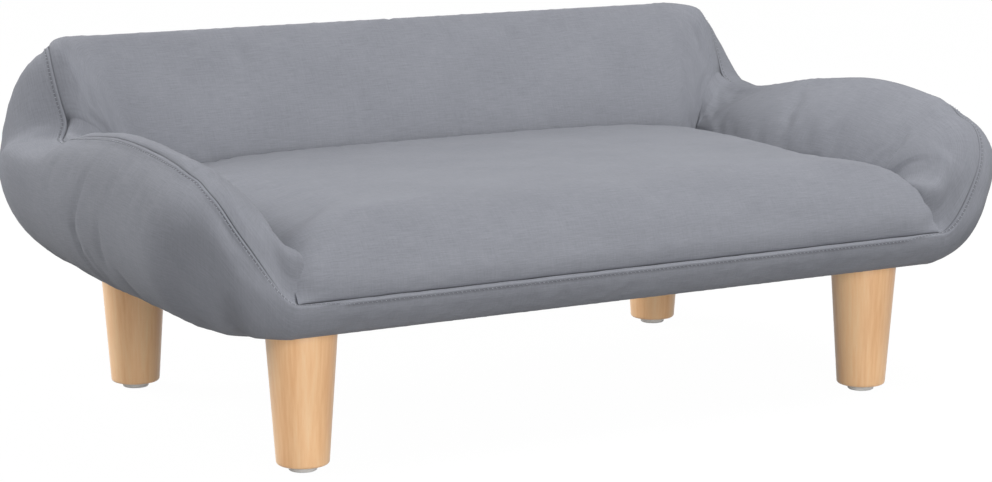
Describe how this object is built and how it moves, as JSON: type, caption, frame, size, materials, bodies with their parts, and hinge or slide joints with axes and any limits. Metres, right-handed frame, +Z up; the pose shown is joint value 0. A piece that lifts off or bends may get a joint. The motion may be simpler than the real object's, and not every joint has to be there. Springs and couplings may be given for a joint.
{
  "type": "dog bed",
  "caption": "Small upholstered dog sofa bed with a padded seat, low rounded arms and backrest in grey linen cloth, on tapered wooden legs",
  "frame": {"origin": "on the floor under the middle of the object", "axes": "+X along the length, to the right as seen from the front; the open front faces -Y; +Z is up"},
  "size_m": [0.7, 0.4109, 0.27],
  "materials": {
    "linen": "slubbed plain weave",
    "dust_cloth": "spunbonded cloth",
    "foam": "soft foam",
    "leg_wood": "clear satin lacquer",
    "plywood": "raw plywood",
    "zinc": "zinc plated",
    "glide": "smooth"
  },
  "bodies": {
    "root": {"arm_cover_left": "linen", "arm_cover_right": "linen", "arm_foam_left": "foam", "arm_foam_right": "foam", "back_blocks": "plywood", "back_foam": "foam", "back_panel": "plywood", "base_board": "plywood", "dust_cover": "dust_cloth", "front_band": "linen", "front_legs": "leg_wood", "hanger_bolts": "zinc", "inner_back_cover": "linen", "leg_glides": "glide", "outer_back_cover": "linen", "outer_side_cover_left": "linen", "outer_side_cover_right": "linen", "rear_legs": "leg_wood", "seat_cover": "linen", "seat_foam": "foam", "side_blocks_left": "plywood", "side_blocks_right": "plywood", "side_panel_left": "plywood", "side_panel_right": "plywood", "tee_nuts": "zinc"}
  },
  "joints": []
}
